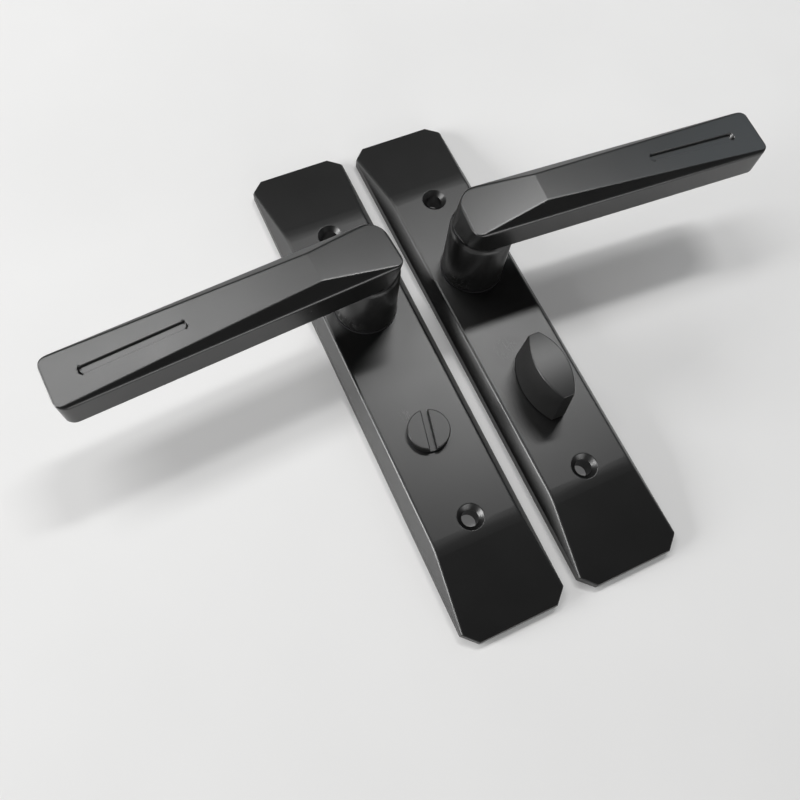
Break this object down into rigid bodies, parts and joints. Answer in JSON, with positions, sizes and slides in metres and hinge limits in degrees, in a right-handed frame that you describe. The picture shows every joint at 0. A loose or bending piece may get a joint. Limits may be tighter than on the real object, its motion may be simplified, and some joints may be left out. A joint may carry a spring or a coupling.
{
  "type": "privacy door handle lock",
  "caption": "Black privacy lever set for a door: mirrored lever handles on faceted backplates, with a thumb turn inside and a slotted coin release outside.",
  "frame": {"origin": "on the plates' back plane, midway between the two plates and midway along them", "axes": "+Z away from the door face, +Y up the door, +X across the pair towards the inside half"},
  "size_m": [0.2394, 0.18, 0.0452],
  "materials": {
    "plate_paint": "semi-gloss black",
    "lever_paint": "satin black",
    "turn_paint": "satin black",
    "bush_nylon": "moulded black",
    "plated_steel": "zinc plated",
    "spring_steel": "drawn wire, oiled"
  },
  "bodies": {
    "plates": {"inside_plate": "plate_paint", "inside_lever_bush": "bush_nylon", "inside_return_spring": "spring_steel", "thumb_turn_bush": "bush_nylon", "outside_plate": "plate_paint", "outside_lever_bush": "bush_nylon", "outside_return_spring": "spring_steel", "coin_release_bush": "bush_nylon"},
    "inside_lever": {"inside_lever": "lever_paint", "inside_spring_driver": "plated_steel", "inside_lever_clip": "spring_steel"},
    "thumb_turn": {"thumb_turn": "turn_paint", "thumb_turn_stop_washer": "plated_steel", "thumb_turn_spring_washer": "spring_steel", "thumb_turn_clip": "spring_steel"},
    "outside_lever": {"outside_lever": "lever_paint", "outside_spring_driver": "plated_steel", "outside_lever_clip": "spring_steel"},
    "coin_release": {"coin_release": "turn_paint", "coin_release_stop_washer": "plated_steel", "coin_release_spring_washer": "spring_steel", "coin_release_clip": "spring_steel"}
  },
  "joints": [
    {"name": "inside_lever_press", "type": "hinge", "parent": "plates", "child": "inside_lever", "pos_m": [0.0205, 0.025, 0.01], "axis": [0, 0, -1], "range_deg": [0, 45], "stiffness_Nm_per_rad": 1, "springref_deg": -22.92, "deforming": ["inside_return_spring"]},
    {"name": "thumb_turn_turn", "type": "hinge", "parent": "plates", "child": "thumb_turn", "pos_m": [0.0205, -0.025, 0.008], "axis": [0, 0, 1], "range_deg": [0, 90]},
    {"name": "outside_lever_press", "type": "hinge", "parent": "plates", "child": "outside_lever", "pos_m": [-0.0205, 0.025, 0.01], "axis": [0, 0, 1], "range_deg": [0, 45], "stiffness_Nm_per_rad": 1, "springref_deg": -22.92, "deforming": ["outside_return_spring"]},
    {"name": "coin_release_turn", "type": "hinge", "parent": "plates", "child": "coin_release", "pos_m": [-0.0205, -0.025, 0.008], "axis": [0, 0, 1], "range_deg": [-77.6, 12.4]}
  ]
}
